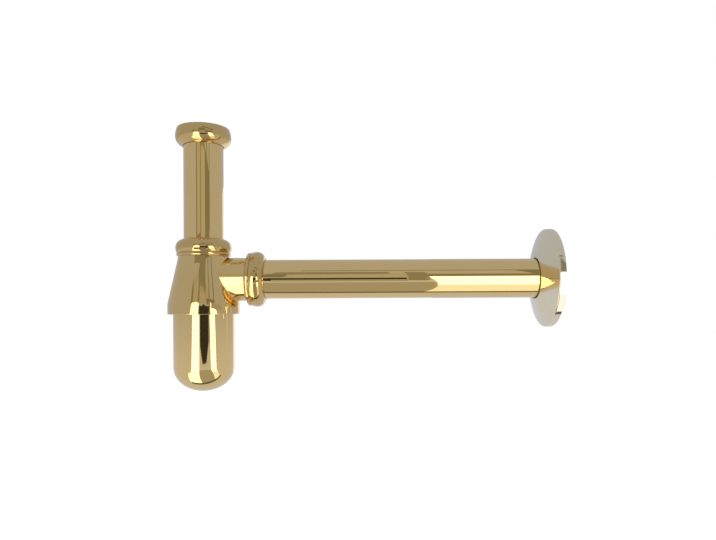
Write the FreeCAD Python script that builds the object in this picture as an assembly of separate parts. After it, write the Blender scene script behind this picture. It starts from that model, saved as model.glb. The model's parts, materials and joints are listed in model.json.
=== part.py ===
import FreeCAD, Part
import math
import os

# Bottle trap for a basin, in millimetres.
# Origin: centre of the inlet washer's top face. +Z up the inlet tube, +X along the outlet tube.
# Heights named "level" are measured from the outlet axis, which lies OUTLET_DROP below the origin.

# Overall places
OUTLET_DROP = 117.5
SPIGOT_LENGTH = 36.95
DIP_BELOW_OUTLET = 67.0

# Tubes
TUBE_OD = 32.0
TUBE_WALL = 1.0
TUBE_FLANGE = 2.0
TUBE_EDGE = 0.3
OUTLET_TUBE_LENGTH = 260.0
WALL_ENTRY = 5.0

# Inlet union
INLET_WASHER = 3.0
INLET_WASHER_ID = 26.5
INLET_LIP = 3.3
INLET_THREAD = 5.8
INLET_NUT_WALL = 1.4
INLET_BELLY = 6.8
INLET_RIM_STEP = 1.1
INLET_EDGE = 0.7
RELIEF_DEPTH = 0.7

# Threaded necks of the body, the same for the inlet tube and the outlet tube
NECK_WALL = 3.476
THREAD_DEPTH = 1.479
NECK_HEIGHT = 9.6
NECK_FILLET = 2.0
SEAT_DEPTH = 3.4
SEAT_LAND = 0.5
SOCKET_DEPTH = 17.4

# Slip nuts
NUT_WALL = 1.6
NUT_LIP = 1.6
NUT_BELLY = 7.0
NUT_RIM = 2.2
RIM_STEP = 0.8
GROOVE_DEPTH = 0.25
GROOVE_WIDTH = 0.6
LIP_LAND = 0.6

# Wedge seals and slip rings
SEAL_HEAD = 1.5
SEAL_NOSE = 0.6
SLIP_RING = 1.15

# Body
BODY_WALL = 3.0
BODY_TOP_OD = 40.5
SPIGOT_WALL = 1.45
WATERWAY = 29.0
WATERWAY_LAND = 1.0
SKIRT_OD = 57.8
SKIRT_WALL = 2.85
SKIRT_HEIGHT = 8.4
SKIRT_STEP = 1.5
SEAL_LAND = 2.5
JUNCTION_FILLET = 0.8

# Cup
CUP_SEAL = 2.0
CUP_HEIGHT = 72.2
CUP_WALL = 2.0
CUP_COLLAR = 1.45
CUP_COLLAR_HEIGHT = 8.0
DOME_HEIGHT = 19.8

# Wall flange
FLANGE_OD = 80.0
FLANGE_DEPTH = 13.0
FLANGE_RIM = 5.0
FLANGE_BULGE = 0.7
FLANGE_SHEET = 1.0
FLANGE_BEND = 0.5
FLANGE_COLLAR = 5.0

# Clearances and edge breaks
FACE_CLEAR = 0.05
THREAD_CLEAR = 0.06
BORE_CLEAR = 0.25
LIP_CLEAR = 0.3
SEAL_CLEAR = 0.05
RING_CLEAR = 0.25
FOOT_CLEAR = 0.25
EDGE = 0.5
THREAD_CHAMFER = 0.8

# A cut runs this far past the face it opens, so that no skin is left
OVERRUN = 2.0

# Radii
tube_r = TUBE_OD / 2
tube_bore_r = tube_r - TUBE_WALL
bore_r = tube_r + BORE_CLEAR
lip_r = tube_r + LIP_CLEAR
minor_r = tube_r + NECK_WALL
major_r = minor_r + THREAD_DEPTH
nut_bore_r = major_r + THREAD_CLEAR
nut_r = major_r + NUT_WALL
inlet_nut_r = major_r + INLET_NUT_WALL
ring_r = minor_r - RING_CLEAR
seat_r = minor_r - SEAT_LAND
spigot_r = bore_r + SPIGOT_WALL
waterway_r = WATERWAY / 2
body_top_r = BODY_TOP_OD / 2
skirt_r = SKIRT_OD / 2
skirt_bore_r = skirt_r - SKIRT_WALL
cup_thread_r = skirt_bore_r - THREAD_CLEAR
cup_r = cup_thread_r - CUP_COLLAR
cup_bore_r = cup_r - CUP_WALL
flange_r = FLANGE_OD / 2
flange_hole_r = tube_r + LIP_CLEAR
tube_flange_r = ring_r

# The clamping stack above a neck's end: seal head, slip ring, nut lip
ring_from = SEAL_HEAD + FACE_CLEAR
ring_to = ring_from + SLIP_RING
lip_from = ring_to + FACE_CLEAR
nut_top = NECK_HEIGHT + lip_from + NUT_LIP

# Levels from the outlet axis
neck_foot = spigot_r + JUNCTION_FILLET + FOOT_CLEAR
skirt_top = -(spigot_r + JUNCTION_FILLET + SKIRT_STEP)
skirt_bottom = skirt_top - SKIRT_HEIGHT
chamber_top = waterway_r + WATERWAY_LAND
seal_seat = -(waterway_r + SEAL_LAND)
cup_rim = seal_seat - CUP_SEAL - 2 * FACE_CLEAR
cup_bottom = cup_rim - CUP_HEIGHT

# Places along the outlet axis
spigot_end = SPIGOT_LENGTH + NECK_HEIGHT
socket_floor = spigot_end - SOCKET_DEPTH
outlet_tube_start = socket_floor + FACE_CLEAR
outlet_tube_end = outlet_tube_start + OUTLET_TUBE_LENGTH
wall_plane = outlet_tube_end - WALL_ENTRY

# Heights of the inlet union, from the washer's top face
tube_top = -INLET_WASHER
tube_flange_under = tube_top - TUBE_FLANGE
inlet_lip_top = tube_flange_under - FACE_CLEAR
inlet_nut_bottom = inlet_lip_top - INLET_LIP


def rounded(before, corner, after, radius):
    """Ends and middle of the arc that rounds a corner between two straight runs."""
    runs = []
    for neighbour in (before, after):
        dr = neighbour[0] - corner[0]
        dh = neighbour[1] - corner[1]
        length = math.hypot(dr, dh)
        runs.append((dr / length, dh / length))
    (ar, ah), (br, bh) = runs
    half = math.acos(ar * br + ah * bh) / 2
    reach = radius / math.tan(half)
    inward = math.hypot(ar + br, ah + bh)
    depth = radius / math.sin(half) - radius
    middle = (corner[0] + (ar + br) / inward * depth, corner[1] + (ah + bh) / inward * depth)
    start = (corner[0] + ar * reach, corner[1] + ah * reach)
    end = (corner[0] + br * reach, corner[1] + bh * reach)
    return start, middle, end


def point(r, h):
    return FreeCAD.Vector(r, 0, h)


def turned(steps):
    """Solid of revolution about Z from a closed half-section.

    A step is a corner (r, h), a rounded corner (r, h, radius), the middle of an arc ("via", r, h),
    or a quarter of an ellipse to the axis ("dome", r, h, height).
    """
    path = []
    for i, step in enumerate(steps):
        if len(step) == 3 and step[0] != "via":
            before = steps[i - 1]
            after = steps[(i + 1) % len(steps)]
            start, middle, end = rounded(before, step, after, step[2])
            path += [start, ("via",) + middle, end]
        else:
            path.append(step)
    edges = []
    here = path[0]
    arc_middle = None
    for step in path[1:] + path[:1]:
        if step[0] == "via":
            arc_middle = step[1:]
            continue
        if step[0] == "dome":
            edges.append(quarter_dome(*step[1:]))
            here = (0, step[2] - step[3])
            continue
        if arc_middle:
            edges.append(Part.Arc(point(*here[:2]), point(*arc_middle), point(*step[:2])).toShape())
        else:
            edges.append(Part.LineSegment(point(*here[:2]), point(*step[:2])).toShape())
        here = step
        arc_middle = None
    face = Part.Face(Part.Wire(edges))
    return face.revolve(FreeCAD.Vector(0, 0, 0), FreeCAD.Vector(0, 0, 1), 360)


# Share of a semi-axis at which a cubic's handles follow a quarter of an ellipse
QUARTER_HANDLE = 4 * (math.sqrt(2) - 1) / 3


def quarter_dome(r, h, height):
    """Edge from (r, h) down to the axis at (0, h - height)."""
    curve = Part.BezierCurve()
    side = point(r, h - QUARTER_HANDLE * height)
    under = point(QUARTER_HANDLE * r, h - height)
    curve.setPoles([point(r, h), side, under, point(0, h - height)])
    return curve.toShape()


def ring(inner_r, outer_r, bottom, top, edge=0.0):
    """Plain ring, with its outer edges rounded where an edge radius is given."""
    if edge:
        outer = [(outer_r, bottom, edge), (outer_r, top, edge)]
    else:
        outer = [(outer_r, bottom), (outer_r, top)]
    return turned([(inner_r, bottom)] + outer + [(inner_r, top)])


def at_level(shape):
    """Move a piece that was drawn from the outlet axis's level to its place."""
    return shape.translated(FreeCAD.Vector(0, 0, -OUTLET_DROP))


def on_outlet(shape, start=0.0):
    """Lay a piece that was drawn along Z on the outlet axis, with its zero at start."""
    laid = shape.copy()
    laid.rotate(FreeCAD.Vector(0, 0, 0), FreeCAD.Vector(0, 1, 0), 90)
    return laid.translated(FreeCAD.Vector(start, 0, -OUTLET_DROP))


def on_neck(shape):
    """Set a piece that was drawn from a neck's foot on the body's upright neck."""
    return at_level(shape.translated(FreeCAD.Vector(0, 0, neck_foot)))


def belly_arc(belly_r, belly, end_r, end):
    """Middle of the arc that leaves a nut's belly upright and ends at (end_r, end), as a via step."""
    drop = belly_r - end_r
    rise = end - belly
    radius = (drop ** 2 + rise ** 2) / (2 * drop)
    turn = math.atan2(rise, radius - drop) / 2
    return ("via", belly_r - radius + radius * math.cos(turn), belly + radius * math.sin(turn))


def inlet_nut():
    """Union nut with its thread at the top and its lip under the tube's flange."""
    relief_r = minor_r + RELIEF_DEPTH
    rim_r = inlet_nut_r - INLET_RIM_STEP
    land_r = lip_r + LIP_LAND
    belly = INLET_THREAD - INLET_BELLY
    edge_r = rim_r - INLET_EDGE
    edge_foot = INLET_THREAD - INLET_EDGE
    edge_middle = INLET_EDGE * math.sqrt(0.5)
    outside = [
        (edge_r, INLET_THREAD),
        ("via", edge_r + edge_middle, edge_foot + edge_middle),
        (rim_r, edge_foot),
        belly_arc(inlet_nut_r, belly, rim_r, edge_foot),
        (inlet_nut_r, belly),
        belly_arc(inlet_nut_r, belly, land_r, inlet_nut_bottom),
        (land_r, inlet_nut_bottom),
    ]
    inside = [
        (lip_r, inlet_nut_bottom),
        (lip_r, inlet_lip_top),
        (relief_r, inlet_lip_top),
        (relief_r, 0),
        (minor_r, 0),
        (minor_r, INLET_THREAD - THREAD_CHAMFER),
        (minor_r + THREAD_CHAMFER, INLET_THREAD),
    ]
    return turned(outside + inside)


def inlet_tube():
    """Tube with a flange at its top, long enough to be the dip tube inside the cup."""
    bottom = -OUTLET_DROP - DIP_BELOW_OUTLET
    return turned([
        (tube_bore_r, bottom),
        (tube_r, bottom, TUBE_EDGE),
        (tube_r, tube_flange_under),
        (tube_flange_r, tube_flange_under),
        (tube_flange_r, tube_top),
        (tube_bore_r, tube_top),
    ])


def slip_nut():
    """Slip nut drawn from the foot of the neck it is screwed on, lip upwards."""
    rim_r = nut_r - RIM_STEP
    groove_r = rim_r - GROOVE_DEPTH
    land_r = lip_r + LIP_LAND
    foot = FOOT_CLEAR
    rim_top = foot + NUT_RIM
    groove_top = rim_top + GROOVE_WIDTH
    belly = foot + NUT_BELLY
    thread_end = NECK_HEIGHT + FACE_CLEAR
    lip_under = NECK_HEIGHT + lip_from
    ring_bore_r = ring_r + RING_CLEAR
    outside = [
        (rim_r, foot, EDGE),
        (rim_r, rim_top),
        (groove_r, (rim_top + groove_top) / 2),
        (rim_r, groove_top),
        belly_arc(nut_r, belly, rim_r, groove_top),
        (nut_r, belly),
        belly_arc(nut_r, belly, land_r, nut_top),
        (land_r, nut_top),
    ]
    inside = [
        (lip_r, nut_top),
        (lip_r, lip_under),
        (ring_bore_r, lip_under),
        (ring_bore_r, thread_end),
        (nut_bore_r, thread_end),
        (nut_bore_r, foot),
    ]
    return turned(outside + inside)


def slip_ring():
    return ring(bore_r, ring_r, NECK_HEIGHT + ring_from, NECK_HEIGHT + ring_to)


def wedge_seal():
    """Rubber ring whose nose fills the conical seat in a neck's mouth."""
    seal_r = tube_r + SEAL_CLEAR
    nose_r = seal_r + SEAL_NOSE
    seat_slope = SEAT_DEPTH / (seat_r - bore_r)
    rim = NECK_HEIGHT + FACE_CLEAR
    nose = rim - (seat_r - nose_r) * seat_slope
    head = NECK_HEIGHT + SEAL_HEAD
    return turned([
        (seal_r, nose),
        (nose_r, nose),
        (seat_r, rim),
        (seat_r, head),
        (seal_r, head),
    ])


def neck_bore(floor_r, floor):
    """Space inside a neck, from a floor below its foot to past its conical mouth."""
    return turned([
        (0, floor),
        (floor_r, floor),
        (floor_r, NECK_HEIGHT - SEAT_DEPTH),
        (seat_r, NECK_HEIGHT),
        (seat_r, NECK_HEIGHT + OVERRUN),
        (0, NECK_HEIGHT + OVERRUN),
    ])


def spigot_outside():
    """Spigot along Z from the body's axis, with its threaded collar at the end."""
    return turned([
        (0, 0),
        (spigot_r, 0),
        (spigot_r, SPIGOT_LENGTH, NECK_FILLET),
        (major_r, SPIGOT_LENGTH),
        (major_r, spigot_end - THREAD_CHAMFER),
        (major_r - THREAD_CHAMFER, spigot_end),
        (0, spigot_end),
    ])


def cone_radius(level):
    """Outside radius of the body's cone at a level."""
    share = (neck_foot - level) / (neck_foot - skirt_top)
    return body_top_r + share * (skirt_r - body_top_r)


def on_junction(edge):
    """True for an edge that runs where the spigot leaves the cone."""
    for at in edge.discretize(5):
        off_spigot = math.hypot(at.y, at.z) - spigot_r
        off_cone = math.hypot(at.x, at.y) - cone_radius(at.z)
        if abs(off_spigot) > FACE_CLEAR or abs(off_cone) > FACE_CLEAR:
            return False
    return True


def trap_body():
    """Cast body: cone with a threaded neck on top, a threaded spigot and a skirt for the cup."""
    neck_top = neck_foot + NECK_HEIGHT
    upright = turned([
        (0, skirt_bottom),
        (skirt_r, skirt_bottom, EDGE),
        (skirt_r, skirt_top),
        (body_top_r, neck_foot),
        (major_r, neck_foot),
        (major_r, neck_top - THREAD_CHAMFER),
        (major_r - THREAD_CHAMFER, neck_top),
        (0, neck_top),
    ])
    spigot = spigot_outside()
    spigot.rotate(FreeCAD.Vector(0, 0, 0), FreeCAD.Vector(0, 1, 0), 90)
    outside = upright.fuse(spigot).removeSplitter()
    junction = [edge for edge in outside.Edges if on_junction(edge)]
    outside = outside.makeFillet(JUNCTION_FILLET, junction)

    chamber_top_r = cone_radius(chamber_top) - BODY_WALL
    chamber = turned([
        (0, skirt_bottom - OVERRUN),
        (skirt_bore_r + THREAD_CHAMFER + OVERRUN, skirt_bottom - OVERRUN),
        (skirt_bore_r, skirt_bottom + THREAD_CHAMFER),
        (skirt_bore_r, seal_seat),
        (cup_bore_r, seal_seat),
        (chamber_top_r, chamber_top),
        (0, chamber_top),
    ])
    neck = neck_bore(bore_r, -neck_foot).translated(FreeCAD.Vector(0, 0, neck_foot))
    socket = neck_bore(bore_r, socket_floor - SPIGOT_LENGTH)
    socket = socket.translated(FreeCAD.Vector(0, 0, SPIGOT_LENGTH))
    waterway = turned([(0, 0), (waterway_r, 0), (waterway_r, spigot_end), (0, spigot_end)])
    outlet = socket.fuse(waterway)
    outlet.rotate(FreeCAD.Vector(0, 0, 0), FreeCAD.Vector(0, 1, 0), 90)
    return at_level(outside.cut(chamber.fuse([neck, outlet])))


def cup():
    """Screw-off cup with a threaded collar at its rim and a domed bottom."""
    equator = cup_bottom + DOME_HEIGHT
    collar_foot = cup_rim - CUP_COLLAR_HEIGHT
    outside = turned([
        (0, cup_rim),
        (cup_thread_r, cup_rim, EDGE),
        (cup_thread_r, collar_foot, EDGE),
        (cup_r, collar_foot),
        (cup_r, equator),
        ("dome", cup_r, equator, DOME_HEIGHT),
    ])
    inside = turned([
        (0, cup_rim + OVERRUN),
        (cup_bore_r, cup_rim + OVERRUN),
        (cup_bore_r, equator),
        ("dome", cup_bore_r, equator, DOME_HEIGHT - CUP_WALL),
    ])
    return at_level(outside.cut(inside))


def circles(shape, r, h):
    """Edges of a turned solid that run round its axis at a radius and a height."""
    found = []
    for edge in shape.Edges:
        if isinstance(edge.Curve, Part.Circle):
            off_r = edge.Curve.Radius - r
            off_h = edge.Curve.Center.z - h
            if math.hypot(off_r, off_h) < FACE_CLEAR:
                found.append(edge)
    return found


def wall_flange():
    """Pressed flange, drawn from its back plane: a shallow dome bent round to a collar and a rim."""
    front = -FLANGE_DEPTH
    shoulder = -FLANGE_RIM
    inner_r = flange_r - FLANGE_SHEET
    collar_r = flange_hole_r + FLANGE_SHEET
    middle_r = (flange_hole_r + flange_r) / 2
    middle = (front + shoulder) / 2 - FLANGE_BULGE
    pressed = turned([
        (flange_hole_r, front + FLANGE_COLLAR),
        (flange_hole_r, front),
        ("via", middle_r, middle),
        (flange_r, shoulder),
        (flange_r, 0),
        (inner_r, 0),
        (inner_r, shoulder + FLANGE_SHEET),
        ("via", middle_r, middle + FLANGE_SHEET),
        (collar_r, front + FLANGE_SHEET),
        (collar_r, front + FLANGE_COLLAR),
    ])
    outer_bends = circles(pressed, flange_r, shoulder) + circles(pressed, flange_hole_r, front)
    bent = pressed.makeFillet(FLANGE_BEND + FLANGE_SHEET, outer_bends)
    inner_bends = circles(bent, inner_r, shoulder + FLANGE_SHEET)
    inner_bends += circles(bent, collar_r, front + FLANGE_SHEET)
    return bent.makeFillet(FLANGE_BEND, inner_bends)


PARTS = {
    "inlet_nut": inlet_nut(),
    "inlet_washer": ring(INLET_WASHER_ID / 2, ring_r, tube_top, 0, EDGE),
    "inlet_tube": inlet_tube(),
    "neck_nut": on_neck(slip_nut()),
    "neck_slip_ring": on_neck(slip_ring()),
    "neck_seal": on_neck(wedge_seal()),
    "trap_body": trap_body(),
    "cup_seal": at_level(ring(cup_bore_r, cup_thread_r - RING_CLEAR,
                              cup_rim + FACE_CLEAR, seal_seat - FACE_CLEAR)),
    "cup": cup(),
    "outlet_nut": on_outlet(slip_nut(), SPIGOT_LENGTH),
    "outlet_slip_ring": on_outlet(slip_ring(), SPIGOT_LENGTH),
    "outlet_seal": on_outlet(wedge_seal(), SPIGOT_LENGTH),
    "outlet_tube": on_outlet(ring(tube_bore_r, tube_r, outlet_tube_start, outlet_tube_end, TUBE_EDGE)),
    "wall_flange": on_outlet(wall_flange(), wall_plane),
}

os.makedirs("parts", exist_ok=True)
for name, shape in PARTS.items():
    shape.exportStep("parts/" + name + ".step")
    box = shape.BoundBox
    print(f"{name:18s} valid {shape.isValid()} solids {len(shape.Solids)} volume {shape.Volume:9.1f}"
          f"  x {box.XMin:7.2f} {box.XMax:7.2f}  z {box.ZMin:8.2f} {box.ZMax:7.2f}")
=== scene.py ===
# %% [markdown]
# # A polished brass bottle trap
# A bottle trap hangs under a basin and keeps a little water in its cup, so that no smell comes up the
# waste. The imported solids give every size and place. This lesson gives them their finish: mirror-polished
# brass, real threads, rubber and plastic rings, and a small photographic set for the metal to reflect.

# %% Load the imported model
import json
import math

import bmesh
import bpy
from mathutils import Matrix, Vector


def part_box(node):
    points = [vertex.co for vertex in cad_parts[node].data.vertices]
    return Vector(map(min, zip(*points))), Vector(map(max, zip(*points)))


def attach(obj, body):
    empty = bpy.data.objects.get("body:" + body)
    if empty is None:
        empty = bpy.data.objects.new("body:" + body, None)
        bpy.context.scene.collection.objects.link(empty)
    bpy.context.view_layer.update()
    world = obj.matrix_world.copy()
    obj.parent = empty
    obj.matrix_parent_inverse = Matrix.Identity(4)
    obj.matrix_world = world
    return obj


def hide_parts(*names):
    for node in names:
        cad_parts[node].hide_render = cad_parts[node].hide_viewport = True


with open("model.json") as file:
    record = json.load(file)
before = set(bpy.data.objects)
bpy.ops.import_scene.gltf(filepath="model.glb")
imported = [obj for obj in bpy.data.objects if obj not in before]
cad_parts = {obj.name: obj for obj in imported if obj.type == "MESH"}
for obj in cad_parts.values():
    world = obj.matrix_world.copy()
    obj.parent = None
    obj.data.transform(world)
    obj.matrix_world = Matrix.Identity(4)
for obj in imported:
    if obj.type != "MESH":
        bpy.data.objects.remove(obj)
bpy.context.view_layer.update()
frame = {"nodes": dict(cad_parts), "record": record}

MM = 0.001

# %% [markdown]
# ## The camera
# The photograph was taken level, with the trap upright, by a camera that stood before the middle of the
# trap. A view can be copied by trial, or worked out: the near and far edges of the round pieces give the
# distance, and the rest is one focal length. The horizon lies below the middle of the picture, so the
# sensor is shifted and the camera stays level, which keeps upright lines upright.

# %% Camera
IMAGE_WIDTH = 716
IMAGE_HEIGHT = 540
SENSOR_WIDTH = 36.0
FOCAL_PIXELS = 580
HORIZON_ROW = 305
CAMERA_PLACE = (126.5 * MM, -477.2 * MM, -139 * MM)
CAMERA_ROLL = math.radians(0.28)

camera = bpy.data.objects.new("camera", bpy.data.cameras.new("camera"))
camera.data.sensor_width = SENSOR_WIDTH
camera.data.lens = SENSOR_WIDTH * FOCAL_PIXELS / IMAGE_WIDTH
camera.data.shift_y = (HORIZON_ROW - IMAGE_HEIGHT / 2) / IMAGE_WIDTH
camera.location = CAMERA_PLACE
camera.rotation_euler = (math.radians(90), CAMERA_ROLL, 0)
bpy.context.scene.collection.objects.link(camera)
bpy.context.scene.camera = camera
print("lens", round(camera.data.lens, 2), "mm, shift", round(camera.data.shift_y, 4))

# %% [markdown]
# ## Colours and nodes
# Colours are written as sRGB hex codes, as a paint chart gives them. The shaders want linear light, so one
# function converts them. A second function adds a node with its settings and its links, so that a material
# reads as a list of what is done to the light.

# %% Colour and node helpers
def srgb(code):
    """Linear colour of an sRGB hex code."""
    channels = [int(code[i:i + 2], 16) / 255 for i in (1, 3, 5)]
    linear = [c / 12.92 if c <= 0.04045 else ((c + 0.055) / 1.055) ** 2.4 for c in channels]
    return (*linear, 1.0)


def add(tree, kind, inputs=None, **settings):
    """Add a node. An input given as a socket is linked, and any other is set."""
    node = tree.nodes.new("ShaderNode" + kind)
    for name, value in settings.items():
        setattr(node, name, value)
    for name, value in (inputs or {}).items():
        if isinstance(value, bpy.types.NodeSocket):
            tree.links.new(value, node.inputs[name])
        else:
            node.inputs[name].default_value = value
    return node


def new_material(name):
    """Material with an empty node tree."""
    material = bpy.data.materials.new(name)
    material.use_nodes = True
    material.node_tree.nodes.clear()
    return material, material.node_tree


print("mid grey in linear light:", [round(c, 3) for c in srgb("#808080")])

# %% [markdown]
# ## Polished brass
# Brass tube and brass castings are turned, buffed and lacquered. The buffed metal is a mirror that tints
# what it reflects, and the clear lacquer over it adds a pale gloss at grazing angles. A mirror needs no
# pattern to look real, but it needs small faults. Hand marks change the roughness over a few centimetres,
# the buffing wheel leaves fine rings round the axis, and the lacquer is a little wavy. Polish dries brown
# in the corners that the wheel can't reach, and shade is painted there as well: the colour turns brown
# wherever the room round a point is closed in. Castings and forged nuts are a deeper yellow than drawn
# tube, and a softer mirror.

# %% Polished brass
SMUDGE_SIZE = 28 * MM
WAVE_SIZE = 11 * MM
WAVE_DEPTH = 0.02 * MM
# Real buffing rings are finer than a pixel, so they are drawn this coarse
RING_SIZE = 0.6 * MM
RING_STRETCH = 60
MARK_RANGE = (0.1, 0.5)
# Roughness of the cleanest places, as a share of that of the most marked ones
FINEST_SHARE = 0.4
# Share of open room round a point: up to the first the dried polish and the painted shade are darkest, from
# the second both are gone
RESIDUE_AND_SHADE_RANGE = (0.2, 0.75)
RESIDUE_AND_SHADE_REACH = 2.5 * MM
# Brown of the dried polish and of the painted shade in closed-in corners
RESIDUE_AND_SHADE_COLOUR = "#5A3F1E"


def ring_noise(tree, place, axis, size, stretch, detail):
    """Noise that is fine along one axis and drawn out round it, as a wheel or a tool leaves it."""
    scale = [1 / stretch] * 3
    scale["XYZ".index(axis)] = 1
    along = add(tree, "Mapping", {"Vector": place, "Scale": scale}).outputs["Vector"]
    return add(tree, "TexNoise", {"Vector": along, "Scale": 1 / size, "Detail": detail}).outputs["Fac"]


def polished_brass(name, light, deep, ring_axis, softest):
    """Buffed and lacquered brass, with buffing rings across one axis and softest as its top roughness."""
    material, tree = new_material(name)
    place = add(tree, "TexCoord").outputs["Object"]
    hand_marks = add(tree, "TexNoise", {"Vector": place, "Scale": 1 / SMUDGE_SIZE, "Detail": 3.0})
    smudge = hand_marks.outputs["Fac"]
    tint = add(tree, "Mix", {0: smudge, 6: srgb(light), 7: srgb(deep)}, data_type="RGBA")
    # Painted shade: ambient occlusion turns closed-in corners brown, together with the dried polish there
    corner = add(tree, "AmbientOcclusion", {"Distance": RESIDUE_AND_SHADE_REACH}, samples=8)
    residue_and_shade = add(tree, "MapRange", {
        "Value": corner.outputs["AO"], "From Min": RESIDUE_AND_SHADE_RANGE[0], "From Max": RESIDUE_AND_SHADE_RANGE[1],
        "To Min": 1.0, "To Max": 0.0})
    stained_and_shaded = add(tree, "Mix", {
        0: residue_and_shade.outputs["Result"], 6: tint.outputs[2], 7: srgb(RESIDUE_AND_SHADE_COLOUR)}, data_type="RGBA")
    rings = ring_noise(tree, place, ring_axis, RING_SIZE, RING_STRETCH, 2.0)
    mark = add(tree, "Math", {0: smudge, 1: rings}, operation="MULTIPLY")
    rough = add(tree, "MapRange", {
        "Value": mark.outputs["Value"], "From Min": MARK_RANGE[0], "From Max": MARK_RANGE[1],
        "To Min": softest * FINEST_SHARE, "To Max": softest})
    waves = add(tree, "TexNoise", {"Vector": place, "Scale": 1 / WAVE_SIZE, "Detail": 1.0})
    wavy = add(tree, "Bump", {"Height": waves.outputs["Fac"], "Strength": 0.25, "Distance": WAVE_DEPTH})
    shader = add(tree, "BsdfPrincipled", {
        "Base Color": stained_and_shaded.outputs[2], "Metallic": 1.0, "Roughness": rough.outputs["Result"],
        "Coat Weight": 0.5, "Coat Roughness": 0.03, "Normal": wavy.outputs["Normal"]})
    add(tree, "OutputMaterial", {"Surface": shader.outputs["BSDF"]})
    return material


TUBE_TINTS = ("#F3D38F", "#EECC85")
SHEET_TINTS = ("#F4E8C6", "#F0E2BC")
CAST_TINTS = ("#EACA86", "#E4C37C")
FORGED_TINTS = ("#DCBC78", "#D6B46F")
TUBE_SOFTEST = 0.055
CAST_SOFTEST = 0.1
FORGED_SOFTEST = 0.09
# Drawn tube and pressed sheet are the clearest mirrors, and the sheet is the palest
brass_upright = polished_brass("polished_brass_upright", *TUBE_TINTS, "Z", TUBE_SOFTEST)
brass_laid = polished_brass("polished_brass_laid", *TUBE_TINTS, "X", TUBE_SOFTEST)
brass_pressed = polished_brass("polished_brass_pressed", *SHEET_TINTS, "X", TUBE_SOFTEST)
# Cast and forged brass is buffed by hand, which leaves a warmer and softer mirror
brass_cast = polished_brass("polished_brass_cast", *CAST_TINTS, "Z", CAST_SOFTEST)
forged_upright = polished_brass("polished_brass_forged_upright", *FORGED_TINTS, "Z", FORGED_SOFTEST)
forged_laid = polished_brass("polished_brass_forged_laid", *FORGED_TINTS, "X", FORGED_SOFTEST)
print("polished brass: tube", TUBE_TINTS, "sheet", SHEET_TINTS, "cast", CAST_TINTS, "forged", FORGED_TINTS)

# %% [markdown]
# ## Turned brass
# Threads and the insides of the tubes are never buffed. The cutting tool and the drawing die leave them
# satin, a little darker, with lines along the cut. The same noise does this as for the buffing rings,
# only rougher and with a small real depth.

# %% Turned brass
TOOL_MARK = 0.35 * MM
TOOL_MARK_STRETCH = 30
TOOL_MARK_DEPTH = 0.02 * MM


def turned_brass(name, ring_axis):
    """Unlacquered brass as it leaves the lathe, with tool marks across one axis."""
    material, tree = new_material(name)
    place = add(tree, "TexCoord").outputs["Object"]
    marks = ring_noise(tree, place, ring_axis, TOOL_MARK, TOOL_MARK_STRETCH, 3.0)
    tint = add(tree, "Mix", {0: marks, 6: srgb("#C99F55"), 7: srgb("#DDBB74")}, data_type="RGBA")
    rough = add(tree, "MapRange", {"Value": marks, "To Min": 0.22, "To Max": 0.42})
    scored = add(tree, "Bump", {"Height": marks, "Strength": 0.5, "Distance": TOOL_MARK_DEPTH})
    shader = add(tree, "BsdfPrincipled", {
        "Base Color": tint.outputs[2], "Metallic": 1.0, "Roughness": rough.outputs["Result"],
        "Normal": scored.outputs["Normal"]})
    add(tree, "OutputMaterial", {"Surface": shader.outputs["BSDF"]})
    return material


# Satin and a little darker: it dulls the insides and makes each turn of a thread stand out
turned_upright = turned_brass("turned_brass_upright", "Z")
turned_laid = turned_brass("turned_brass_laid", "X")
print("turned brass for threads and bores")

# %% [markdown]
# ## Rubber and plastic
# The washer and the wedge seals are moulded EPDM rubber: nearly black, dull, with the fine grain of a
# blasted mould and a faint grey bloom. The slip rings are moulded polyethylene, white, waxy and smoother.
# Both come out of a mould, so one function makes both, with a grain and a slow drift of colour.

# %% Moulded rubber and plastic
ROUGH_SPREAD = 0.08


def moulded(name, dark, light, grain, patch, rough, depth):
    """Moulded material: a fine grain from the mould, and a colour that drifts over larger patches."""
    material, tree = new_material(name)
    place = add(tree, "TexCoord").outputs["Object"]
    bloom = add(tree, "TexNoise", {"Vector": place, "Scale": 1 / patch, "Detail": 4.0})
    tint = add(tree, "Mix", {0: bloom.outputs["Fac"], 6: srgb(dark), 7: srgb(light)}, data_type="RGBA")
    speck = add(tree, "TexNoise", {"Vector": place, "Scale": 1 / grain, "Detail": 2.0})
    gloss = add(tree, "MapRange", {
        "Value": speck.outputs["Fac"], "To Min": rough - ROUGH_SPREAD, "To Max": rough + ROUGH_SPREAD})
    pits = add(tree, "Bump", {"Height": speck.outputs["Fac"], "Strength": 0.6, "Distance": depth})
    shader = add(tree, "BsdfPrincipled", {
        "Base Color": tint.outputs[2], "Roughness": gloss.outputs["Result"],
        "Normal": pits.outputs["Normal"]})
    add(tree, "OutputMaterial", {"Surface": shader.outputs["BSDF"]})
    return material


# Dull and nearly black, so that the seals read as dark lines between the bright pieces
rubber = moulded("moulded_epdm_rubber", "#161617", "#262628", 0.5 * MM, 9 * MM, 0.7, 0.04 * MM)
# Half gloss and off-white, as waxy plastic is beside white paint
plastic = moulded("moulded_white_polyethylene", "#E2E1DA", "#EEEDE7", 0.6 * MM, 12 * MM, 0.45,
                  0.015 * MM)
for node in ("inlet_washer", "neck_seal", "outlet_seal", "cup_seal"):
    frame["nodes"][node].material_slots[0].material = rubber
for node in ("neck_slip_ring", "outlet_slip_ring"):
    frame["nodes"][node].material_slots[0].material = plastic
print("rubber on 4 nodes, plastic on 2")

# %% [markdown]
# ## A lathe for meshes
# Nearly every piece of a bottle trap is turned or spun, so it is made as on a lathe: half of its section is
# drawn as a wire, the corners are rounded with a vertex bevel, and the wire is spun once round the axis.
# A cylinder with cut-outs would need far more clean-up, and would have no rounded edges to catch the light.

# %% Lathe helpers
TURN_STEPS = 160
CORNER_SEGMENTS = 4
MERGE = 0.0005 * MM
SHARP_ANGLE = math.radians(32)


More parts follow.
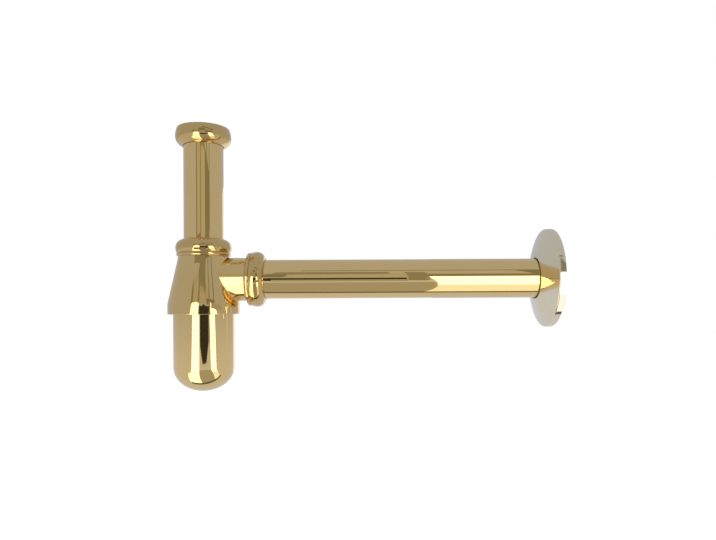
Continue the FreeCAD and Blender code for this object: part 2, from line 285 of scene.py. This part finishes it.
def round_corner(bm, vert, rounding):
    """Round one corner of a wire to a radius in millimetres."""
    before, after = (edge.other_vert(vert).co - vert.co for edge in vert.link_edges)
    reach = rounding * MM / math.tan(before.angle(after) / 2)
    bmesh.ops.bevel(bm, geom=[vert], offset=reach, offset_type="OFFSET", affect="VERTICES",
                    segments=CORNER_SEGMENTS, profile=0.5, material=-1)


def turn(section, lined=False):
    """Spin a half-section of (radius, height[, rounding]) corners in millimetres round the Z axis.

    A lined piece takes its second material on the faces that look at the middle of its axis.
    """
    bm = bmesh.new()
    verts = [bm.verts.new((corner[0] * MM, 0, corner[1] * MM)) for corner in section]
    for i, corner in enumerate(section):
        on_axis = section[i - 1][0] == 0 and corner[0] == 0
        if not on_axis:
            bm.edges.new((verts[i - 1], verts[i]))
    for vert, corner in zip(verts, section):
        if len(corner) == 3:
            round_corner(bm, vert, corner[2])
    bmesh.ops.spin(bm, geom=bm.verts[:] + bm.edges[:], cent=(0, 0, 0), axis=(0, 0, 1),
                   angle=2 * math.pi, steps=TURN_STEPS, use_merge=True)
    bmesh.ops.remove_doubles(bm, verts=bm.verts, dist=MERGE)
    bmesh.ops.recalc_face_normals(bm, faces=bm.faces)
    heights = [corner[1] for corner in section]
    middle = Vector((0, 0, (min(heights) + max(heights)) / 2 * MM))
    for face in bm.faces:
        if lined and face.normal.dot(face.calc_center_median() - middle) < 0:
            face.material_index = 1
    return bm


def new_object(name, bm, materials=()):
    """Object from a bmesh, linked into the scene."""
    mesh = bpy.data.meshes.new(name)
    bm.to_mesh(mesh)
    bm.free()
    for material in materials:
        mesh.materials.append(material)
    made = bpy.data.objects.new(name, mesh)
    bpy.context.scene.collection.objects.link(made)
    return made


def make_piece(name, bm, materials, body, node):
    """Piece of the trap that rides a body, in place of a CAD node if one is named."""
    piece = new_object(name, bm, materials)
    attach(piece, body)
    if node:
        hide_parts(node)
    return piece


def finish_piece(piece):
    """Smooth shading that keeps sharp edges, with large faces ruling the normals."""
    piece.data.shade_smooth()
    piece.data.set_sharp_from_angle(angle=SHARP_ANGLE)
    even = piece.modifiers.new("even_normals", "WEIGHTED_NORMAL")
    even.keep_sharp = True
    print(piece.name, len(piece.data.polygons), "faces")


print("lathe with", TURN_STEPS, "steps to the turn")

# %% [markdown]
# ## Sizes from the frame
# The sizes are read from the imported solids, so that a piece of the scene can't drift from the piece that it
# dresses. Heights are along Z. The outlet pieces are turned upright and then laid on the outlet's axis.

# %% Sizes
def span(node, axis):
    """Lowest and highest coordinate of a CAD node along x, y or z, in millimetres."""
    low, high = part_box(node)
    k = "xyz".index(axis)
    return low[k] / MM, high[k] / MM


def radius(node):
    """Largest radius of a CAD node that is round in the XY or the YZ plane, in millimetres."""
    low, high = span(node, "y")
    return (high - low) / 2


LIP_CLEAR = 0.3
LIP_LAND = 0.6
tube_r = radius("outlet_tube")
nut_r = radius("neck_nut")
# The inlet mount states the thread's smallest radius
minor_r = frame["record"]["mounts"][0]["dims"]["r_mm"]
outlet_height = sum(span("outlet_tube", "z")) / 2
lip_r = tube_r + LIP_CLEAR
land_r = lip_r + LIP_LAND


def lay_on_outlet(bm, start):
    """Turn a piece that was made along Z onto the outlet axis, with its zero at X = start."""
    laid = Matrix.Rotation(math.pi / 2, 4, "Y")
    moved = Matrix.Translation((start * MM, 0, outlet_height * MM))
    bmesh.ops.transform(bm, matrix=moved @ laid, verts=bm.verts)


print("tube radius", round(tube_r, 2), "nut radius", round(nut_r, 2))
print("outlet axis at height", round(outlet_height, 2))

# %% [markdown]
# ## Threads
# The unions have the pipe thread G 1 1/4: 11 turns to the inch, with flanks at 55 degrees. A thread can be
# drawn as a bump, but a loosened nut shows its edge, so it is cut: a small section is spun with a step
# along the axis, which makes a helix, and a boolean takes it out of the piece. The nuts' own ridges are the
# same helix, a little thinner, so that they lie in the grooves and turn through them.

# %% Thread helpers
PIPE_PITCH = 25.4 / 11
PIPE_FLANK = math.radians(55 / 2)
PIPE_DEPTH = 0.6403 * PIPE_PITCH
CUP_PITCH = 2.0
CUP_FLANK = math.radians(30)
CUP_DEPTH = 0.9
ROOT_FLAT = 0.35
THREAD_STEPS = 72
# A cutter stands this far out of the metal, and a ridge is sunk this far into its nut
CUT_OVER = 0.2
RIDGE_SINK = 0.1
RIDGE_CLEAR = 0.1
major_r = minor_r + PIPE_DEPTH


def thread_section(root_r, mouth_r, flank, shrink=0.0):
    """Four-sided section of a groove between two radii, made smaller all round by shrink."""
    outward = math.copysign(1, mouth_r - root_r)
    root = root_r + outward * shrink
    root_half = ROOT_FLAT / 2 + shrink * math.tan(flank) - shrink
    mouth_half = ROOT_FLAT / 2 + abs(mouth_r - root_r) * math.tan(flank) - shrink
    return [(root, -root_half), (root, root_half), (mouth_r, mouth_half), (mouth_r, -mouth_half)]


def helix(section, pitch, start, turns, first=0.0):
    """Carry a section round a right-handed helix that passes the +X side at height start.

    The helix begins first turns later, and runs for a number of turns.
    """
    bm = bmesh.new()
    verts = [bm.verts.new((r * MM, 0, (start + h) * MM)) for r, h in section]
    for i, vert in enumerate(verts):
        bm.edges.new((verts[i - 1], vert))
    turned = Matrix.Rotation(first * 2 * math.pi, 4, "Z")
    raised = Matrix.Translation((0, 0, first * pitch * MM))
    bmesh.ops.transform(bm, matrix=raised @ turned, verts=bm.verts)
    steps = round(turns * THREAD_STEPS)
    angle = steps / THREAD_STEPS * 2 * math.pi
    rise = (0, 0, pitch * MM / THREAD_STEPS)
    bmesh.ops.spin(bm, geom=bm.verts[:] + bm.edges[:], cent=(0, 0, 0), axis=(0, 0, 1),
                   dvec=rise, angle=angle, steps=steps)
    bmesh.ops.holes_fill(bm, edges=[edge for edge in bm.edges if edge.is_boundary], sides=0)
    bmesh.ops.recalc_face_normals(bm, faces=bm.faces)
    for face in bm.faces:
        face.material_index = 1
    return bm


def cut(piece, bm):
    """Take a bmesh out of a piece."""
    cutter = new_object("cutter", bm)
    boolean = piece.modifiers.new("cut", "BOOLEAN")
    boolean.operation = "DIFFERENCE"
    boolean.solver = "EXACT"
    boolean.object = cutter
    evaluated = piece.evaluated_get(bpy.context.evaluated_depsgraph_get())
    piece.data = bpy.data.meshes.new_from_object(evaluated)
    piece.modifiers.clear()
    bpy.data.objects.remove(cutter)


print("pipe thread pitch", round(PIPE_PITCH, 3), "depth", round(PIPE_DEPTH, 3))

# %% [markdown]
# ## The inlet nut
# The union nut at the top screws onto the basin's waste and pulls the tube's flange against the washer.
# Its outside is one round belly, made of two arcs that leave the widest place upright. A bevel on a plain
# ring would be quicker, but it would leave a flat band where the real nut is round.

# %% Inlet nut
ARC_STEPS = 12
EDGE = 0.3
INLET_LIP = 3.3
INLET_BELLY = 6.8
INLET_RIM_STEP = 1.1
INLET_EDGE = 0.7
INLET_ROUND = 0.65
RELIEF_DEPTH = 0.7
LEAD_IN = 0.8
nut_bottom, nut_top = span("inlet_nut", "z")
inlet_nut_r = radius("inlet_nut")


def belly_arc(belly_r, belly, end_r, end):
    """Points of the arc that leaves a nut's belly upright and ends at (end_r, end)."""
    drop = belly_r - end_r
    rise = end - belly
    bend = (drop ** 2 + rise ** 2) / (2 * drop)
    full = math.atan2(rise, bend - drop)
    angles = [full * i / ARC_STEPS for i in range(ARC_STEPS + 1)]
    return [(belly_r - bend + bend * math.cos(a), belly + bend * math.sin(a)) for a in angles]


inlet_belly = nut_top - INLET_BELLY
inlet_rim_r = inlet_nut_r - INLET_RIM_STEP
relief_r = minor_r + RELIEF_DEPTH
upper = belly_arc(inlet_nut_r, inlet_belly, inlet_rim_r, nut_top - INLET_EDGE)
lower = belly_arc(inlet_nut_r, inlet_belly, land_r, nut_bottom)
inlet_nut_section = [
    (inlet_rim_r, nut_top, INLET_ROUND), *upper[:0:-1], *lower[:-1], (*lower[-1], EDGE),
    (lip_r, nut_bottom), (lip_r, nut_bottom + INLET_LIP), (relief_r, nut_bottom + INLET_LIP),
    (relief_r, 0), (minor_r, 0), (minor_r, nut_top - LEAD_IN), (minor_r + LEAD_IN, nut_top)]
inlet_nut = make_piece("inlet_nut_turned", turn(inlet_nut_section, True),
                       [forged_upright, turned_upright], "inlet_nut", "inlet_nut")
inlet_groove = thread_section(major_r, minor_r - CUT_OVER, PIPE_FLANK)
# The groove starts one turn below the washer's face and runs out one turn above the rim
inlet_turns = nut_top / PIPE_PITCH + 2
cut(inlet_nut, helix(inlet_groove, PIPE_PITCH, -PIPE_PITCH, inlet_turns))
finish_piece(inlet_nut)

# %% [markdown]
# ## The tubes
# Both tubes are drawn brass with a one millimetre wall, deburred at the ends. The inlet tube has a flange
# at its top, and its lower end hangs inside the cup as the dip tube. Only the outside is polished, so the
# section is closed round the wall and the lathe gives the inner faces their own material.

# %% Tubes
TUBE_WALL = 1.0
TUBE_FLANGE = 2.0
tube_bore_r = tube_r - TUBE_WALL
tube_flange_r = radius("inlet_tube")
dip_end, inlet_tube_top = span("inlet_tube", "z")
tube_flange_foot = inlet_tube_top - TUBE_FLANGE
inlet_tube_section = [
    (tube_bore_r, dip_end), (tube_r, dip_end, EDGE), (tube_r, tube_flange_foot),
    (tube_flange_r, tube_flange_foot, EDGE), (tube_flange_r, inlet_tube_top, EDGE),
    (tube_bore_r, inlet_tube_top, EDGE)]
inlet_tube = make_piece("inlet_tube_drawn", turn(inlet_tube_section, True),
                        [brass_upright, turned_upright], "inlet_tube", "inlet_tube")
finish_piece(inlet_tube)

tube_start, tube_end = span("outlet_tube", "x")
tube_length = tube_end - tube_start
outlet_bm = turn([
    (tube_bore_r, 0), (tube_r, 0, EDGE), (tube_r, tube_length, EDGE), (tube_bore_r, tube_length)], True)
lay_on_outlet(outlet_bm, tube_start)
outlet_tube = make_piece("outlet_tube_drawn", outlet_bm,
                         [brass_laid, turned_laid], "outlet_tube", "outlet_tube")
finish_piece(outlet_tube)

# %% [markdown]
# ## The slip nuts
# Each slip nut presses its plastic ring and its rubber wedge into the mouth of a neck, which grips the
# tube. Both nuts are the same piece: a bead at the open end, a fine groove, the round belly and a lip. One
# function turns it from its own foot, so the two can't differ, and it is then set on the neck or laid on
# the spigot.

# %% Slip nuts
NUT_RIM = 2.2
NUT_BELLY = 7.0
RIM_STEP = 0.8
GROOVE_WIDTH = 0.8
GROOVE_DEPTH = 0.4
GROOVE_EDGE = 0.1
BEAD_ROUND = 1.0
NUT_LIP = 1.6
RING_SEAT = 2.7
THREAD_CLEAR = 0.06
FOOT_CLEAR = 0.25
THREAD_START = 1.6
RIDGE_FIRST = 0.15
RIDGE_TURNS = 2.9
neck_nut_foot, neck_nut_top = span("neck_nut", "z")
outlet_nut_foot = span("outlet_nut", "x")[0]
slip_nut_height = neck_nut_top - neck_nut_foot
nut_bore_r = major_r + THREAD_CLEAR
rim_r = nut_r - RIM_STEP


def slip_nut():
    """Slip nut from its open end at height zero to its lip."""
    lip_under = slip_nut_height - NUT_LIP
    groove_top = NUT_RIM + GROOVE_WIDTH
    lower = belly_arc(nut_r, NUT_BELLY, rim_r, groove_top)
    upper = belly_arc(nut_r, NUT_BELLY, land_r, slip_nut_height)
    return turn([
        (nut_bore_r, 0), (rim_r, 0, BEAD_ROUND), (rim_r, NUT_RIM, BEAD_ROUND),
        (rim_r - GROOVE_DEPTH, NUT_RIM + GROOVE_WIDTH / 2), (*lower[-1], GROOVE_EDGE),
        *lower[-2:0:-1], *upper[:-1], (*upper[-1], EDGE), (lip_r, slip_nut_height),
        (lip_r, lip_under), (minor_r, lip_under), (minor_r, lip_under - RING_SEAT),
        (nut_bore_r, lip_under - RING_SEAT)], True)


# A helix puts its faces in the second slot, so a ridge has the same brass in both
THREAD_UPRIGHT = [turned_upright, turned_upright]
THREAD_LAID = [turned_laid, turned_laid]
ridge = thread_section(minor_r, nut_bore_r + RIDGE_SINK, PIPE_FLANK, RIDGE_CLEAR)
neck_foot = neck_nut_foot - FOOT_CLEAR
spigot_collar = outlet_nut_foot - FOOT_CLEAR
neck_bm = slip_nut()
bmesh.ops.translate(neck_bm, vec=(0, 0, neck_nut_foot * MM), verts=neck_bm.verts)
neck_nut = make_piece("neck_nut_turned", neck_bm,
                      [forged_upright, turned_upright], "neck_nut", "neck_nut")
finish_piece(neck_nut)
neck_ridge = helix(ridge, PIPE_PITCH, neck_foot + THREAD_START, RIDGE_TURNS, RIDGE_FIRST)
finish_piece(make_piece("neck_nut_thread", neck_ridge, THREAD_UPRIGHT, "neck_nut", None))

outlet_nut_bm = slip_nut()
lay_on_outlet(outlet_nut_bm, outlet_nut_foot)
outlet_nut = make_piece("outlet_nut_turned", outlet_nut_bm,
                        [forged_laid, turned_laid], "outlet_nut", "outlet_nut")
finish_piece(outlet_nut)
outlet_ridge = helix(ridge, PIPE_PITCH, THREAD_START, RIDGE_TURNS, RIDGE_FIRST)
lay_on_outlet(outlet_ridge, spigot_collar)
finish_piece(make_piece("outlet_nut_thread", outlet_ridge, THREAD_LAID, "outlet_nut", None))

# %% [markdown]
# ## The body
# The body is one casting: a cone with a threaded neck, a threaded spigot at its side and a skirt that takes
# the cup. Its solid already has the fillet where the spigot leaves the cone, which a lathe can't make, so a
# merged copy is used, and the two outside threads are cut into it. The skirt's inside thread is a ridge of
# its own.

# %% Body
NECK_HEIGHT = 9.6
SKIRT_CLEAR = 0.06
SKIRT_RIDGE_TURNS = 2.8
CUP_THREAD_START = 1.0
CUP_COLLAR_HEIGHT = 8.0
body_bm = bmesh.new()
body_bm.from_mesh(frame["nodes"]["trap_body"].data)
bmesh.ops.remove_doubles(body_bm, verts=body_bm.verts, dist=MERGE)
trap_body = make_piece("trap_body_cast", body_bm,
                       [brass_cast, turned_upright], "trap_body", "trap_body")
neck_groove = thread_section(minor_r, major_r + CUT_OVER, PIPE_FLANK)
neck_turns = (NECK_HEIGHT - THREAD_START + PIPE_PITCH) / PIPE_PITCH
cut(trap_body, helix(neck_groove, PIPE_PITCH, neck_foot + THREAD_START, neck_turns))
spigot_cutter = helix(neck_groove, PIPE_PITCH, THREAD_START, neck_turns)
lay_on_outlet(spigot_cutter, spigot_collar)
cut(trap_body, spigot_cutter)
finish_piece(trap_body)

cup_rim = span("cup", "z")[1]
cup_thread_r = radius("cup")
collar_foot = cup_rim - CUP_COLLAR_HEIGHT
# The ridge is low, because the rubber ring passes it when the cup is unscrewed
skirt_bore_r = cup_thread_r + SKIRT_CLEAR
skirt_ridge = thread_section(radius("cup_seal"), skirt_bore_r + RIDGE_SINK, CUP_FLANK, RIDGE_CLEAR)
cup_thread_foot = collar_foot + CUP_THREAD_START
skirt_bm = helix(skirt_ridge, CUP_PITCH, cup_thread_foot, SKIRT_RIDGE_TURNS, RIDGE_FIRST)
finish_piece(make_piece("skirt_thread", skirt_bm, THREAD_UPRIGHT, "trap_body", None))

# %% [markdown]
# ## The cup
# The cup unscrews by hand, to empty the trap. It is turned from one piece: a threaded collar, a straight
# wall and a bottom that is a quarter of an ellipse in section. The ellipse meets the wall without an edge,
# so the reflections run on from the wall into the bottom.

# %% Cup
CUP_COLLAR = 1.45
CUP_WALL = 2.0
DOME_HEIGHT = 19.8
DOME_STEPS = 28
COLLAR_EDGE = 0.5
cup_bottom = span("cup", "z")[0]
cup_r = cup_thread_r - CUP_COLLAR
cup_bore_r = cup_r - CUP_WALL
equator = cup_bottom + DOME_HEIGHT


def dome(r, height):
    """Quarter of an ellipse from the wall at the equator down to the axis."""
    quarter = [math.pi / 2 * i / DOME_STEPS for i in range(DOME_STEPS)]
    arc = [(r * math.cos(a), equator - height * math.sin(a)) for a in quarter]
    return arc + [(0, equator - height)]


cup_section = [
    *dome(cup_bore_r, DOME_HEIGHT - CUP_WALL)[::-1], (cup_bore_r, cup_rim, EDGE),
    (cup_thread_r, cup_rim, COLLAR_EDGE), (cup_thread_r, collar_foot, COLLAR_EDGE), (cup_r, collar_foot),
    *dome(cup_r, DOME_HEIGHT)]
cup = make_piece("cup_turned", turn(cup_section, True), [brass_upright, turned_upright], "cup", "cup")
cup_groove = thread_section(cup_thread_r - CUP_DEPTH, cup_thread_r + CUT_OVER, CUP_FLANK)
cup_turns = (CUP_COLLAR_HEIGHT - CUP_THREAD_START + CUP_PITCH) / CUP_PITCH
cut(cup, helix(cup_groove, CUP_PITCH, cup_thread_foot, cup_turns))
finish_piece(cup)

# %% [markdown]
# ## The wall flange
# The flange hides the hole in the wall. It is pressed from thin sheet: a collar that hugs the tube, a
# shallow dome and a rim that is bent round to the wall. A pressed bend is never sharp, so the corners are
# round. The curve of the dome is slight, but it decides how the tube is mirrored in the face.

# %% Wall flange
FLANGE_SHEET = 1.0
FLANGE_RIM = 5.0
FLANGE_BEND = 0.5
FLANGE_BULGE = 0.4
FLANGE_COLLAR = 5.0
FLANGE_STEPS = 10
FLANGE_DEPTH = 13.0
flange_front = span("wall_flange", "x")[1] - FLANGE_DEPTH
flange_r = radius("wall_flange")


def flange_dome(from_r, to_r, start, end):
    """Shallow arc from the collar's mouth out to the rim's corner."""
    points = []
    for i in range(1, FLANGE_STEPS):
        share = i / FLANGE_STEPS
        bulge = FLANGE_BULGE * 4 * share * (1 - share)
        points.append((from_r + share * (to_r - from_r), start + share * (end - start) - bulge))
    return points


shoulder = FLANGE_DEPTH - FLANGE_RIM
outer_bend = FLANGE_BEND + FLANGE_SHEET
inner_r = flange_r - FLANGE_SHEET
collar_r = lip_r + FLANGE_SHEET
flange_bm = turn([
    (lip_r, FLANGE_COLLAR), (lip_r, 0, outer_bend), *flange_dome(lip_r, flange_r, 0, shoulder),
    (flange_r, shoulder, outer_bend), (flange_r, FLANGE_DEPTH, EDGE),
    (inner_r, FLANGE_DEPTH, EDGE), (inner_r, shoulder + FLANGE_SHEET, FLANGE_BEND),
    *flange_dome(collar_r, inner_r, FLANGE_SHEET, shoulder + FLANGE_SHEET)[::-1],
    (collar_r, FLANGE_SHEET, FLANGE_BEND), (collar_r, FLANGE_COLLAR)])
lay_on_outlet(flange_bm, flange_front)
wall_flange = make_piece("wall_flange_pressed", flange_bm,
                         [brass_pressed], "wall_flange", "wall_flange")
finish_piece(wall_flange)

# %% [markdown]
# ## The photographic set
# Polished metal has hardly any colour of its own: it shows what stands round it. So the set comes first and
# the lamp second. One picture wrapped round the scene could do it, but then every piece would see the same
# thing in the same direction. Cards at real distances are seen by each piece in its own place. They are
# seen only in reflections. The floor and the world are plain white, as in a photograph for a catalogue.

# %% Floor and world
FLOOR_HEIGHT = -620 * MM
FLOOR_SIZE = 8.0
# The floor's paint glows a little to the eye, so that it stays white to its far end
FLOOR_LIFT = 0.25


def only_in_reflections(piece):
    """Hide a card of the set from everything but glossy rays."""
    piece.visible_camera = False
    piece.visible_diffuse = False
    piece.visible_shadow = False
    piece.visible_transmission = False
    piece.visible_volume_scatter = False


def stage_piece(name, bm, material):
    """Object that belongs to the set and not to the trap."""
    piece = new_object(name, bm, [material])
    return piece


def direct_view(tree):
    """One for rays from the camera, a mirror or a glass, and zero for light that bounces."""
    ray = add(tree, "LightPath").outputs
    seen_by_eye = add(tree, "Math", {0: ray["Is Camera Ray"], 1: ray["Is Glossy Ray"]}, operation="MAXIMUM")
    through = {0: seen_by_eye.outputs[0], 1: ray["Is Transmission Ray"]}
    return add(tree, "Math", through, operation="MAXIMUM").outputs[0]


# Matt white paint, which takes a soft shadow and has no shine of its own
floor_white, tree = new_material("painted_white_floor")
seen = add(tree, "Math", {0: direct_view(tree), 1: FLOOR_LIFT}, operation="MULTIPLY")
paint = add(tree, "BsdfDiffuse", {"Color": srgb("#F4F4F2")})
lift = add(tree, "Emission", {"Color": srgb("#FFFFFF"), "Strength": seen.outputs[0]})
both = add(tree, "AddShader", {0: paint.outputs[0], 1: lift.outputs[0]})
add(tree, "OutputMaterial", {"Surface": both.outputs[0]})
floor_bm = bmesh.new()
bmesh.ops.create_grid(floor_bm, x_segments=1, y_segments=1, size=FLOOR_SIZE)
bmesh.ops.translate(floor_bm, vec=(0, 0, FLOOR_HEIGHT), verts=floor_bm.verts)
stage_piece("floor", floor_bm, floor_white)

world = bpy.data.worlds.new("white_studio")
bpy.context.scene.world = world
world.use_nodes = True
world.node_tree.nodes.clear()
sky = add(world.node_tree, "Background", {"Color": srgb("#FFFFFF"), "Strength": 1.0})
add(world.node_tree, "OutputWorld", {"Surface": sky.outputs[0]})
print("floor at", FLOOR_HEIGHT, "m")

# %% [markdown]
# ## The tent
# A light tent is a bag of thin white cloth round the object, lit from outside. It gives the brass its calm
# middle tone. A flattened ball stands for it, and its glow is a little stronger below, where a white floor
# lights the cloth.

# %% Tent
TENT_CENTRE = Vector((127, 0, -150)) * MM
TENT_SIZE = Vector((1500, 1200, 460)) * MM
TENT_UPPER = 0.585
TENT_LOWER = 0.75
TENT_FADE = (-0.36, -0.12)
TENT_COLOUR = "#ECF0FF"
TENT_SUBDIVISIONS = 5

# A matt cloth that glows evenly, which metal shows as a soft grey
tent_cloth, tree = new_material("tent_cloth")
height = add(tree, "SeparateXYZ", {0: add(tree, "TexCoord").outputs["Object"]}).outputs["Z"]
tone = add(tree, "MapRange", {
    "Value": height, "From Min": TENT_FADE[0], "From Max": TENT_FADE[1],
    "To Min": TENT_LOWER, "To Max": TENT_UPPER}, interpolation_type="SMOOTHSTEP")
glow = add(tree, "Emission", {"Color": srgb(TENT_COLOUR), "Strength": tone.outputs[0]})
add(tree, "OutputMaterial", {"Surface": glow.outputs[0]})
tent_bm = bmesh.new()
bmesh.ops.create_icosphere(tent_bm, subdivisions=TENT_SUBDIVISIONS, radius=1)
bmesh.ops.scale(tent_bm, vec=TENT_SIZE, verts=tent_bm.verts)
bmesh.ops.translate(tent_bm, vec=TENT_CENTRE, verts=tent_bm.verts)
only_in_reflections(stage_piece("tent", tent_bm, tent_cloth))
print("tent", [round(s / MM) for s in TENT_SIZE], "mm")

# %% [markdown]
# ## Cards round the trap
# Each bright or dark line on the brass is one card. A card is placed by where it lies from the outlet's
# axis: how far away, how far it is tilted down, and its span across and up. It glows by itself, because a
# lamp that lit it would need a size, a power and a place for every card.

# %% Cards
def glowing(name, strength, colour="#FFFFFF"):
    """Even glow of a lit card."""
    material, tree = new_material(name)
    glow = add(tree, "Emission", {"Color": srgb(colour), "Strength": strength})
    add(tree, "OutputMaterial", {"Surface": glow.outputs[0]})
    return material


def card(name, across, up, distance, tilt, material, foot_share=1.0):
    """Flat card before the outlet axis, across along X; its lower edge may be narrower."""
    bm = bmesh.new()
    bmesh.ops.create_grid(bm, x_segments=1, y_segments=1, size=0.5)
    foot = [vert for vert in bm.verts if vert.co.y < 0]
    bmesh.ops.scale(bm, vec=(foot_share, 1, 1), verts=foot)
    bmesh.ops.scale(bm, vec=((across[1] - across[0]) * MM, (up[1] - up[0]) * MM, 1), verts=bm.verts)
    middle = Vector(((across[0] + across[1]) / 2, (up[0] + up[1]) / 2, distance)) * MM
    bmesh.ops.translate(bm, vec=middle, verts=bm.verts)
    turned_down = Matrix.Rotation(math.pi / 2 + math.radians(tilt), 3, "X")
    bmesh.ops.rotate(bm, cent=(0, 0, 0), matrix=turned_down, verts=bm.verts)
    bmesh.ops.translate(bm, vec=(0, 0, outlet_height * MM), verts=bm.verts)
    only_in_reflections(stage_piece(name, bm, material))


print("cards stand round the axis at height", round(outlet_height, 2))

# %% [markdown]
# ## Panels
# A folded white panel leans in on each side of the camera. The two give the bright bands of the cup and of
# the waste tube. A grey apron hangs between them, the left one has a wing at its foot, and a dark hem below
# draws the line round the bottom of the cup. A fold is two cards with a narrow gap, which shows as a line.

# %% Panels
PANEL_DISTANCE = 300
PANEL_TILT = 35
PANEL_TOP = 302
BAR_WIDTH = 14
PANEL_FOLD = -24
FOLD_GAP = 4
PANEL_FOOT = -340
LEFT_PANEL = (-182, -21)
LEFT_WING = (-235, -182)
RIGHT_PANEL = (230, 445)
APRON_TOP = 70
HEM_DISTANCE = 400
HEM_TILT = 87
HEM_HALF = 30
WARM_WHITE = "#FFFCF0"
# Lit cloth and paper, which the brass shows as flat tones from white to nearly black
softbox = glowing("softbox_cloth", 2.7)
left_paper = glowing("left_white_paper", 2.2)
right_paper = glowing("right_white_paper", 1.3, "#F6F8FF")
grey_card = glowing("grey_card", 0.42)
dark_frame = glowing("dark_frame", 0.25, WARM_WHITE)
dark_hem = glowing("dark_hem", 0.12)
upper_half = (PANEL_FOLD + FOLD_GAP, PANEL_TOP)
lower_half = (PANEL_FOOT, PANEL_FOLD)
top_bar = (PANEL_TOP, PANEL_TOP + BAR_WIDTH)
for side, across, paper in (("left", LEFT_PANEL, left_paper), ("right", RIGHT_PANEL, right_paper)):
    card(side + "_panel_frame", across, top_bar, PANEL_DISTANCE, PANEL_TILT, dark_frame)
    card(side + "_panel_upper", across, upper_half, PANEL_DISTANCE, PANEL_TILT, softbox)
    card(side + "_panel_lower", across, lower_half, PANEL_DISTANCE, PANEL_TILT, paper)
card("left_wing", LEFT_WING, lower_half, PANEL_DISTANCE, PANEL_TILT, left_paper)
between = (LEFT_PANEL[1], RIGHT_PANEL[0])
card("apron", between, (PANEL_FOOT, APRON_TOP), PANEL_DISTANCE, PANEL_TILT, grey_card)
whole = (LEFT_PANEL[0], RIGHT_PANEL[1])
card("hem", whole, (-HEM_HALF, HEM_HALF), HEM_DISTANCE, HEM_TILT, dark_hem)
print("two folded panels with an apron between them")

# %% [markdown]
# ## Screen, flag and bars
# A grey screen with darker posts stands behind the camera and draws the upright lines of the inlet tube and
# the cone. The black flag before it is the dark stripe of the cup. Small bars close to the trap, like strips
# of card on wires, hide a card from one piece only. The back panel is for a view from behind.

# %% Screen, flag and bars
SCREEN_DISTANCE = 650
SCREEN_SPAN = (97, 420)
# The posts stand just before the screen
POST_DISTANCE = 648
FLAG_DISTANCE = 350
FLAG_ACROSS = (-4, 194)
FLAG_FOOT = -75
# The flag narrows below its foot to this share of its width
FLAG_TIP_SHARE = 0.45
# Behind the axis
FLANGE_BAR_DISTANCE = -60
FLANGE_BAR_ACROSS = (195, 292)
screen_grey = glowing("grey_screen", 0.49, WARM_WHITE)
post_grey = glowing("dark_post", 0.24, WARM_WHITE)
hood_grey = glowing("dark_hood", 0.29, WARM_WHITE)
black_cloth = glowing("black_flag_cloth", 0.04)
back_cloth = glowing("back_panel_cloth", 1.0)
# The tones that the flange's face sees of the tent, above and below the axis
upper_grey = glowing("upper_tent_grey", TENT_UPPER, TENT_COLOUR)
lower_grey = glowing("lower_tent_grey", 0.73, TENT_COLOUR)
# Name, span across, span up, distance before the axis, and cloth
UPRIGHT_CARDS = (
    ("screen", (-350, 830), SCREEN_SPAN, SCREEN_DISTANCE, screen_grey),
    ("screen_post_0", (-345, -270), SCREEN_SPAN, POST_DISTANCE, post_grey),
    ("screen_post_1", (-60, -14), SCREEN_SPAN, POST_DISTANCE, post_grey),
    ("screen_board", (256, 640), (97, 285), POST_DISTANCE, post_grey),
    ("camera_hood", (-26, 182), (236, 520), 500, hood_grey),
    ("right_post", (395, 440), (110, 400), 400, post_grey),
    ("screen_rail", (40, 420), (295, 335), 300, post_grey),
    ("stand", (196, 226), (FLAG_FOOT, 250), FLAG_DISTANCE, hood_grey),
    ("flag", FLAG_ACROSS, (FLAG_FOOT, 23), FLAG_DISTANCE, black_cloth),
    # One bar hides the flag's lower part from the waste tube, the other the whole flag from the neck nut
    ("tube_bar", (48, 172), (-20, -7), 76, grey_card),
    ("nut_bar", (-7, 11), (17.5, 22.5), 31, hood_grey),
    # The back panel is hidden from the flange's face by two bars
    ("back_panel", (-60, 250), (-180, 160), -420, back_cloth),
    ("flange_bar_upper", FLANGE_BAR_ACROSS, (0, 85), FLANGE_BAR_DISTANCE, upper_grey),
    ("flange_bar_lower", FLANGE_BAR_ACROSS, (-85, 0), FLANGE_BAR_DISTANCE, lower_grey))
for name, across, up, distance, cloth in UPRIGHT_CARDS:
    card(name, across, up, distance, 0, cloth)
card("flag_tip", FLAG_ACROSS, (-100, FLAG_FOOT), FLAG_DISTANCE, 0, black_cloth, FLAG_TIP_SHARE)
print(len(UPRIGHT_CARDS) + 1, "upright cards")

# %% [markdown]
# ## The lamp
# One large lamp overhead lights the floor, the rubber and the plastic, and gives them soft shadows. A real
# lamp would also show in the metal as a white square. This one is kept out of reflections, so that the cards
# alone draw the brass.

# %% Lamp
LAMP_SIZE = 1.2
LAMP_POWER = 18
LAMP_PLACE = (0.2, -0.3, 1.1)
LAMP_LEAN = math.radians(12)
lamp = bpy.data.objects.new("overhead_lamp", bpy.data.lights.new("overhead_lamp", "AREA"))
lamp.data.size = LAMP_SIZE
lamp.data.energy = LAMP_POWER
lamp.location = LAMP_PLACE
lamp.rotation_euler = (LAMP_LEAN, 0, 0)
lamp.visible_glossy = False
lamp.visible_camera = False
bpy.context.scene.collection.objects.link(lamp)
bpy.context.scene.view_settings.view_transform = "Standard"
print("lamp of", LAMP_SIZE, "m and", LAMP_POWER, "W")
